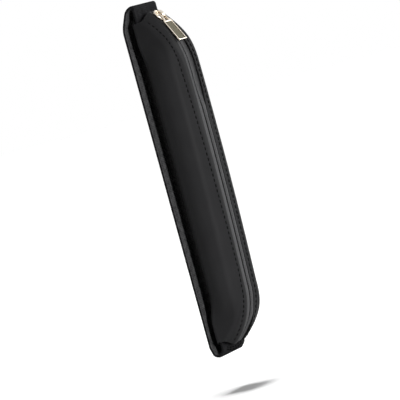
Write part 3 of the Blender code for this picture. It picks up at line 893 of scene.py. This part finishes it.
def add_stitch(bm, start, end, outward):
    """One stitch: a thread that rises from its hole, lies along the seam and dives again."""
    radius = THREAD_WIDTH / 2
    along = end - start
    reach = along.length / 2 - radius
    made = bmesh.ops.create_uvsphere(bm, u_segments=THREAD_SIDES, v_segments=THREAD_SIDES,
                                     radius=radius)
    forward = along.normalized()
    across = outward.cross(forward).normalized()
    lift = forward.cross(across)
    middle = (start + end) / 2
    for vert in made["verts"]:
        length = vert.co.z + math.copysign(reach, vert.co.z) if abs(vert.co.z) > TINY else 0.0
        share = length / (reach + radius)
        height = vert.co.y * THREAD_FLATNESS - THREAD_DIVE * share ** 4
        vert.co = middle + forward * length + across * vert.co.x + lift * height


def build_zip_stitches():
    count = int((TOP_RUN - BOTTOM_RUN) / STITCH_PITCH) - 1
    first = -(count * STITCH_PITCH) / 2 + (TOP_RUN + BOTTOM_RUN) / 2
    for word, side in SIDES:
        bm = bmesh.new()
        for index in range(count):
            low = zip_height(first + index * STITCH_PITCH)
            high = zip_height(first + index * STITCH_PITCH + STITCH_LENGTH)
            start = front_surface(side * seam_x(side, low), low, 0.0)
            end = front_surface(side * seam_x(side, high), high, 0.0)
            outward = front_surface(side * seam_x(side, low), low, -MM) - start
            add_stitch(bm, start, end, outward)
        new_piece(word + "_zip_thread", bm, THREAD_LOOK, "pouch", word + "_zip_stitches")


def build_tab_stitches():
    face_y = BOTTOM_LEAN - LEATHER - BOTTOM_TAB_SET - BAND_THICKNESS
    count = round(TAB_STITCH_SPAN / STITCH_PITCH)
    length = (count - 1) * STITCH_PITCH + STITCH_LENGTH
    for row in (1, 2):
        bm = bmesh.new()
        for index in range(count):
            x = index * STITCH_PITCH - length / 2
            start = place(x, face_y, -HALF_LENGTH)
            end = place(x + STITCH_LENGTH, face_y, -HALF_LENGTH)
            for point in (start, end):
                point.z -= TAB_STITCH_STEP * row
            add_stitch(bm, start, end, Vector((0.0, -1.0, 0.0)))
        new_piece(f"bottom_tab_thread_{row}", bm, THREAD_LOOK, "pouch",
                  f"bottom_tab_stitches_{row}")


# Elastic band

def rounded_path(corners):
    """Points of a path whose corners, given as (point, radius), are turned by arcs."""
    points = [Vector(corners[0][0])]
    for index in range(1, len(corners) - 1):
        corner = Vector(corners[index][0])
        radius = corners[index][1]
        arrive = (corner - Vector(corners[index - 1][0])).normalized()
        leave = (Vector(corners[index + 1][0]) - corner).normalized()
        turn = arrive.angle(leave)
        start = corner - arrive * radius * math.tan(turn / 2)
        centre = corner + (leave - arrive).normalized() * radius / math.cos(turn / 2)
        sign = 1.0 if arrive.cross(leave) > 0 else -1.0
        for step in range(FOLD_STEPS + 1):
            arm = (start - centre).to_3d()
            arm.rotate(Matrix.Rotation(sign * turn * step / FOLD_STEPS, 3, "Z"))
            points.append(centre + arm.to_2d())
    points.append(Vector(corners[-1][0]))
    return points


def band_corners():
    """Corners of the band's middle line as (y, z), from the top tab round to the bottom tab."""
    half = BAND_THICKNESS / 2
    run_y = COVER_GAP + half
    top_y = -(LEATHER + TOP_TAB_SET + half)
    bottom_y = BOTTOM_LEAN - LEATHER - BOTTOM_TAB_SET - half
    top_fold = HALF_LENGTH + TAB_REACH - half
    bottom_fold = half - HALF_LENGTH - TAB_REACH
    shoulder_y = top_y + (run_y - top_y) * TOP_SHOULDER_SHARE
    return [
        ((top_y, TAB_INNER_Z), 0.0),
        ((top_y, top_fold + TOP_FOLD_RISE), FOLD_RADIUS),
        ((shoulder_y, top_fold - half), TOP_SHOULDER_RADIUS),
        ((run_y, top_fold - TOP_LOOP_DROP), TOP_LOOP_RADIUS),
        ((run_y, bottom_fold + BOTTOM_LOOP_DROP), BOTTOM_LOOP_RADIUS),
        ((run_y - BAND_THICKNESS, bottom_fold + half), BOTTOM_SHOULDER_RADIUS),
        ((bottom_y + BOTTOM_FOLD_SETBACK, bottom_fold), FOLD_RADIUS),
        ((bottom_y, -HALF_LENGTH - half), FOLD_RADIUS),
        ((bottom_y, -TAB_INNER_Z), 0.0),
    ]


class Ribbon:
    """A path that gives its point and normal at any distance along it."""

    def __init__(self, points):
        self.points = [points[0]]
        self.marks = [0.0]
        for point in points[1:]:
            step = (point - self.points[-1]).length
            if step > TINY:
                self.marks.append(self.marks[-1] + step)
                self.points.append(point)
        self.length = self.marks[-1]

    def normal(self, index):
        before = self.points[max(index - 1, 0)]
        after = self.points[min(index + 1, len(self.points) - 1)]
        direction = (after - before).normalized()
        return Vector((-direction.y, direction.x))

    def at(self, distance):
        index = 0
        while index < len(self.marks) - 2 and self.marks[index + 1] < distance:
            index += 1
        share = (distance - self.marks[index]) / (self.marks[index + 1] - self.marks[index])
        share = min(max(share, 0.0), 1.0)
        point = self.points[index].lerp(self.points[index + 1], share)
        return point, self.normal(index).lerp(self.normal(index + 1), share).normalized()


def build_band():
    ribbon = Ribbon(rounded_path(band_corners()))

    def point(across, along):
        spot, normal = ribbon.at(ribbon.length * along)
        x = BAND_WIDTH * (across - 0.5)
        spot = spot + normal * BAND_THICKNESS / 2
        return Vector((x, spot.x, spot.y))

    bm = warped_grid(BAND_GRID, point, (BAND_WIDTH, ribbon.length))
    face_out(bm, lambda centre: Vector((0.0, centre.y - BAND_CORE_Y, 0.0)))
    band = new_piece("elastic_band_weave", bm, ELASTIC_LOOK, "pouch", "elastic_band")
    thicken(band, BAND_THICKNESS, BAND_EDGE)
    # Inner face in the lighter copy of the elastic: painted light on the strip seen in the gap.
    band.data.materials.append(ELASTIC_BACK_PAINTED_LIGHT_LOOK)
    band.modifiers["wall"].material_offset = 1
    return band


# Slider

def slider_angle():
    return math.asin((TOP_RISE - SLIDER_END_GAP) / TOP_ARC_RADIUS)


def on_arc(x, inset, angle):
    """World point near the top arc."""
    radius = TOP_ARC_RADIUS - inset
    return Vector((x, TOP_ARC_Y - radius * math.cos(angle), TOP_ARC_Z + radius * math.sin(angle)))


def bend_to_arc(bm):
    """Bend a flat shape, drawn with +Y up the zip and +Z outward, along the top arc."""
    for vert in bm.verts:
        angle = slider_angle() + vert.co.y / TOP_ARC_RADIUS
        vert.co = on_arc(vert.co.x, -vert.co.z, angle)


def slider_outline():
    """Outline of the plate: wide nose, narrower tail and rounded ends."""
    points = []
    for step in range(PLATE_STEPS):
        angle = 2 * math.pi * step / PLATE_STEPS
        y = SLIDER_LENGTH / 2 * pressed(math.sin(angle), SLIDER_END_CURVE)
        share = y / SLIDER_LENGTH + 0.5
        width = SLIDER_TAIL_WIDTH + (SLIDER_NOSE_WIDTH - SLIDER_TAIL_WIDTH) * share
        points.append((width / 2 * pressed(math.cos(angle), SLIDER_SIDE_CURVE), y))
    return points


def add_slider_plate(bm, base):
    """Outer plate, its upper and lower edges rounded."""
    verts = [bm.verts.new((x, y, base)) for x, y in slider_outline()]
    top = extrude_by(bm, [bm.faces.new(verts)], (0.0, 0.0, SLIDER_PLATE))
    rims = [edge for edge in bm.edges
            if edge.verts[0] in top + verts and edge.verts[1] in top + verts
            and abs(edge.verts[0].co.z - edge.verts[1].co.z) < TINY]
    bmesh.ops.bevel(bm, geom=rims, offset=SLIDER_ROUND, segments=3, profile=0.5,
                    affect="EDGES", material=-1)


def add_block(bm, low, high):
    made = bmesh.ops.create_cube(bm, size=1.0)
    for vert in made["verts"]:
        vert.co = Vector(low[i] + (vert.co[i] + 0.5) * (high[i] - low[i]) for i in range(3))


def build_slider():
    """Outer plate with a C-shaped rim, inner plate, web and the flanges round the coils."""
    bm = bmesh.new()
    plate_base = FIT - TAPE_INSET
    rim = []
    for step in range(RIM_STEPS + 1):
        angle = RIM_START + RIM_SWEEP * step / RIM_STEPS
        rim.append(((SLIDER_NOSE_WIDTH / 2 - SLIDER_RIM) * math.cos(angle),
                    (SLIDER_LENGTH / 2 - SLIDER_RIM / 2) * math.sin(angle),
                    plate_base + SLIDER_PLATE + SLIDER_RIM / 4))
    add_tube(bm, "slider_rim", rim, SLIDER_RIM, 4)
    add_slider_plate(bm, plate_base)
    floor = -(COIL_INSET + COIL_THICKNESS + FIT)
    half = SLIDER_LENGTH / 2
    reach = TAPE_GAP / 2 + COIL_WIDTH + FIT + SLIDER_FLANGE
    add_block(bm, (-reach, -half, floor - SLIDER_INNER_PLATE), (reach, half, floor))
    add_block(bm, (-SLIDER_WEB / 2, -half, floor), (SLIDER_WEB / 2, half, plate_base))
    flange_top = -(TAPE_INSET + TAPE_THICKNESS + FIT)
    for side in (-1, 1):
        inner, outer = sorted((side * (reach - SLIDER_FLANGE), side * reach))
        add_block(bm, (inner, -half, floor), (outer, half, flange_top))
    bend_to_arc(bm)
    body = new_piece("slider_shell", bm, GOLD_LOOK, "slider", "slider_body")
    smooth_by_angle(body)


def build_cap():
    """Arched bridge over the slider that holds the pull."""
    clear = math.hypot(PULL_BAR, PULL_THICKNESS) / 2 + HAIRLINE
    lift = PIVOT_HEIGHT + clear
    reach = PIVOT_SHIFT + clear
    plate_top = SLIDER_PLATE - TAPE_INSET + FIT
    bm = bmesh.new()
    for step in range(CAP_STEPS + 1):
        angle = math.pi * step / CAP_STEPS
        for radius, top in ((reach + CAP_THICKNESS, lift + CAP_THICKNESS), (reach, lift)):
            height = HAIRLINE + (top - HAIRLINE) * math.sin(angle) ** CAP_CURVE
            bm.verts.new((-CAP_WIDTH / 2, radius * pressed(math.cos(angle), CAP_CURVE),
                          plate_top + height))
    bm.verts.ensure_lookup_table()
    for step in range(CAP_STEPS):
        bm.faces.new([bm.verts[2 * step + i] for i in (0, 2, 3, 1)])
    extrude_by(bm, list(bm.faces), (CAP_WIDTH, 0.0, 0.0))
    bmesh.ops.recalc_face_normals(bm, faces=bm.faces)
    rims = [edge for edge in bm.edges if edge.is_manifold and edge.calc_face_angle() > CAP_SHARP]
    bmesh.ops.bevel(bm, geom=rims, offset=CAP_ROUND, segments=3, profile=0.5,
                    affect="EDGES", material=-1)
    bend_to_arc(bm)
    cap = new_piece("slider_bridge", bm, GOLD_LOOK, "slider", "slider_cap")
    smooth_by_angle(cap)


# Pull

def pull_matrix():
    """Place of the pull: its origin at the pivot, hanging down -Z and leaning on the front."""
    angle = slider_angle()
    pivot = on_arc(0.0, TAPE_INSET - FIT - SLIDER_PLATE - PIVOT_HEIGHT, angle)
    pivot += Vector((0.0, -math.sin(angle), -math.cos(angle))) * PIVOT_SHIFT
    return Matrix.Translation(pivot) @ Matrix.Rotation(-(angle - PULL_DIP), 4, "X")


def pull_outline():
    neck, body = PULL_NECK_WIDTH / 2, PULL_WIDTH / 2
    top, shoulder = PULL_BAR / 2, -PULL_NECK_LENGTH
    right = [(neck, top), (neck, shoulder), (body, shoulder - PULL_SHOULDER), (body, -PULL_LENGTH)]
    return right + [(-x, z) for x, z in reversed(right)]


def flat_prism(outline, back, front, corner):
    """Prism on an outline in X and Z, from y = back to y = front, its upright corners rounded."""
    bm = bmesh.new()
    face = bm.faces.new([bm.verts.new((x, back, z)) for x, z in outline])
    extrude_by(bm, [face], (0.0, front - back, 0.0))
    bmesh.ops.recalc_face_normals(bm, faces=bm.faces)
    edges = [edge for edge in bm.edges if abs(edge.verts[0].co.y - edge.verts[1].co.y) > FIT]
    bmesh.ops.bevel(bm, geom=edges, offset=corner, segments=6, profile=0.5,
                    affect="EDGES", material=-1)
    return bm


def box_outline(half_width, top, bottom):
    return [(-half_width, top), (half_width, top), (half_width, bottom), (-half_width, bottom)]


def cut_out(obj, cutter):
    """Cut the shape out of the piece and drop the cutter."""
    modifier = obj.modifiers.new("cut", "BOOLEAN")
    modifier.operation = "DIFFERENCE"
    modifier.solver = "EXACT"
    modifier.object = cutter
    bpy.context.view_layer.update()
    evaluated = obj.evaluated_get(bpy.context.evaluated_depsgraph_get())
    mesh = bpy.data.meshes.new_from_object(evaluated)
    obj.modifiers.remove(modifier)
    old = obj.data
    obj.data = mesh
    bpy.data.meshes.remove(old)
    bpy.data.objects.remove(cutter)


def build_pull():
    """Frame with its eye and recess, and the plate that lies in the recess."""
    half = PULL_THICKNESS / 2
    frame_bm = flat_prism(pull_outline(), half, -half, PULL_CORNER)
    tab = new_piece("pull_frame", frame_bm, GOLD_LOOK, "pull", "pull_tab")
    eye = box_outline(CAP_WIDTH / 2 + FIT, -PULL_BAR / 2, -PULL_EYE_LENGTH)
    cut_out(tab, mesh_object("eye", flat_prism(eye, half + MM, -half - MM, PULL_HOLE_CORNER)))
    top = -(PULL_NECK_LENGTH + PULL_SHOULDER + INSET_TOP_MARGIN)
    bottom = PULL_FRAME - PULL_LENGTH
    inset_half = PULL_WIDTH / 2 - PULL_FRAME
    floor = INSET_RECESS - half
    recess = flat_prism(box_outline(inset_half, top, bottom), floor, -half - MM, PULL_HOLE_CORNER)
    cut_out(tab, mesh_object("recess", recess))
    tab.data.transform(pull_matrix())
    smooth_by_angle(tab, 30)
    round_edges(tab, PULL_EDGE)
    plate = flat_prism(box_outline(inset_half - FIT / 2, top - FIT / 2, bottom + FIT / 2),
                       floor - HAIRLINE, floor - INSET_THICKNESS, INSET_CORNER)
    plate.transform(pull_matrix())
    inset = new_piece("pull_plate", plate, INSET_LOOK, "pull", "pull_inset")
    smooth_by_angle(inset, 30)


# Stage, light and camera

def seen_directly(tree):
    """1 for camera, glossy and transmission rays, 0 for light that falls on the object."""
    path = tree.nodes.new("ShaderNodeLightPath")
    seen = math_node(tree, "MAXIMUM", path.outputs["Is Camera Ray"], path.outputs["Is Glossy Ray"])
    return math_node(tree, "MAXIMUM", seen, path.outputs["Is Transmission Ray"])


def build_floor():
    """Floor that is pale where it is seen, and dark where its light would reach the object."""
    bm = bmesh.new()
    bmesh.ops.create_circle(bm, cap_ends=True, segments=96, radius=FLOOR_RADIUS)
    bmesh.ops.translate(bm, verts=bm.verts, vec=(0.0, 0.0, FLOOR_Z))
    material, tree, shader = new_material("pale_floor")
    set_inputs(
        tree, shader,
        Base_Color=mix_colour(tree, seen_directly(tree), (0.12, 0.12, 0.12), (0.9, 0.9, 0.9)),
        Roughness=0.9,
        Specular_IOR_Level=0.0)
    floor = mesh_object("floor", bm)
    floor.data.materials.append(material)
    return floor


def build_world():
    """White where it is seen, and a faint fill light elsewhere."""
    world = bpy.data.worlds.new("studio")
    bpy.context.scene.world = world
    world.use_nodes = True
    tree = world.node_tree
    background = tree.nodes["Background"]
    background.inputs["Color"].default_value = (1.0, 1.0, 1.0, 1.0)
    glow = math_node(tree, "MULTIPLY", seen_directly(tree), 1.0 - FILL_LIGHT)
    feed(tree, background.inputs["Strength"], math_node(tree, "ADD", glow, FILL_LIGHT))


def lamp_group(name, objects):
    """Objects that a lamp is kept to."""
    group = bpy.data.collections.new(name)
    for obj in objects:
        group.objects.link(obj)
    return group


def add_lamp(lamp, location, target, group=None):
    """Lamp at its place, turned to its target; a group keeps its light to those objects."""
    obj = bpy.data.objects.new(lamp.name, lamp)
    obj.location = location
    aim = Vector(target) - Vector(location)
    obj.rotation_euler = aim.to_track_quat("-Z", "Y").to_euler()
    if group:
        obj.light_linking.receiver_collection = group
    bpy.context.scene.collection.objects.link(obj)


def add_softbox(name, location, target, size, power, group=None):
    lamp = bpy.data.lights.new(name, "AREA")
    lamp.shape = "RECTANGLE"
    lamp.size, lamp.size_y = size
    lamp.energy = power
    add_lamp(lamp, location, target, group)


def build_lights(band, floor):
    """Softboxes round the object, a spot on its lower end and a sun for the floor's shadow."""
    meshes = [obj for obj in bpy.context.scene.objects if obj.type == "MESH"]
    band_only = lamp_group("band_only", [band])
    all_but_band = lamp_group("all_but_band", [obj for obj in meshes if obj != band])
    floor_only = lamp_group("floor_only", [floor])
    all_but_floor = lamp_group("all_but_floor", [obj for obj in meshes if obj != floor])
    add_softbox("key_softbox", (0.92, -0.72, 0.25), (0.0, -0.01, 0.0), (0.6, 0.7), 9.0)
    add_softbox("left_softbox", (-1.52, -1.30, 0.1), (0.0, 0.0, -0.03), (3.0, 1.1), 35.0,
                all_but_band)
    add_softbox("front_softbox", (0.35, -1.97, 0.35), (0.0, 0.0, 0.0), (1.6, 1.1), 11.0,
                all_but_band)
    add_softbox("back_softbox", (0.95, 1.35, 0.3), (0.0, 0.0, 0.0), (1.2, 1.0), 22.0,
                all_but_floor)
    add_softbox("strip_lamp", (-0.70, -1.02, 0.15), (0.0, 0.0, 0.0), (0.08, 0.5), 20.0, band_only)
    low = bpy.data.lights.new("low_spot", "SPOT")
    low.energy = 880.0
    low.spot_size = math.radians(7.6)
    low.spot_blend = 1.0
    low.shadow_soft_size = 0.2
    add_lamp(low, (-1.25, -1.5, -0.02), (0.0, 0.0, -0.085), all_but_band)
    overhead = bpy.data.lights.new("overhead", "SUN")
    overhead.energy = 3.6
    overhead.angle = math.radians(22.0)
    add_lamp(overhead, (0.0, 0.0, 1.0), (-0.024, 0.040, 0.0), floor_only)


def build_camera():
    """Camera at the viewing angle, with its roll and its off-centre axis."""
    eye = Vector((math.sin(CAMERA_AZIMUTH) * math.cos(CAMERA_ELEVATION),
                  -math.cos(CAMERA_AZIMUTH) * math.cos(CAMERA_ELEVATION),
                  math.sin(CAMERA_ELEVATION)))
    right = Vector((math.cos(CAMERA_AZIMUTH), math.sin(CAMERA_AZIMUTH), 0.0))
    up = eye.cross(right)
    rolled_right = right * math.cos(CAMERA_ROLL) + up * math.sin(CAMERA_ROLL)
    rolled_up = up * math.cos(CAMERA_ROLL) - right * math.sin(CAMERA_ROLL)
    lens = bpy.data.cameras.new("camera")
    lens.sensor_width = SENSOR_WIDTH
    lens.lens = FOCAL_PIXELS * SENSOR_WIDTH / FRAME_WIDTH
    lens.shift_x = (FRAME_WIDTH / 2 - AXIS_PIXEL[0]) / FRAME_WIDTH
    lens.shift_y = (AXIS_PIXEL[1] - FRAME_WIDTH / 2) / FRAME_WIDTH
    lens.clip_start = 0.01
    lens.clip_end = 50.0
    camera = bpy.data.objects.new("camera", lens)
    turn = Matrix((rolled_right, rolled_up, eye)).transposed().to_4x4()
    camera.matrix_world = Matrix.Translation(CAMERA_TARGET + eye * CAMERA_DISTANCE) @ turn
    bpy.context.scene.collection.objects.link(camera)
    bpy.context.scene.camera = camera


def main():
    bpy.context.scene.view_settings.view_transform = "Standard"
    build_camera()
    build_world()
    floor = build_floor()
    build_panels()
    build_inner_layers()
    build_back()
    build_tapes()
    build_coils()
    build_zip_stitches()
    build_tab_stitches()
    band = build_band()
    build_slider()
    build_cap()
    build_pull()
    build_lights(band, floor)


main()
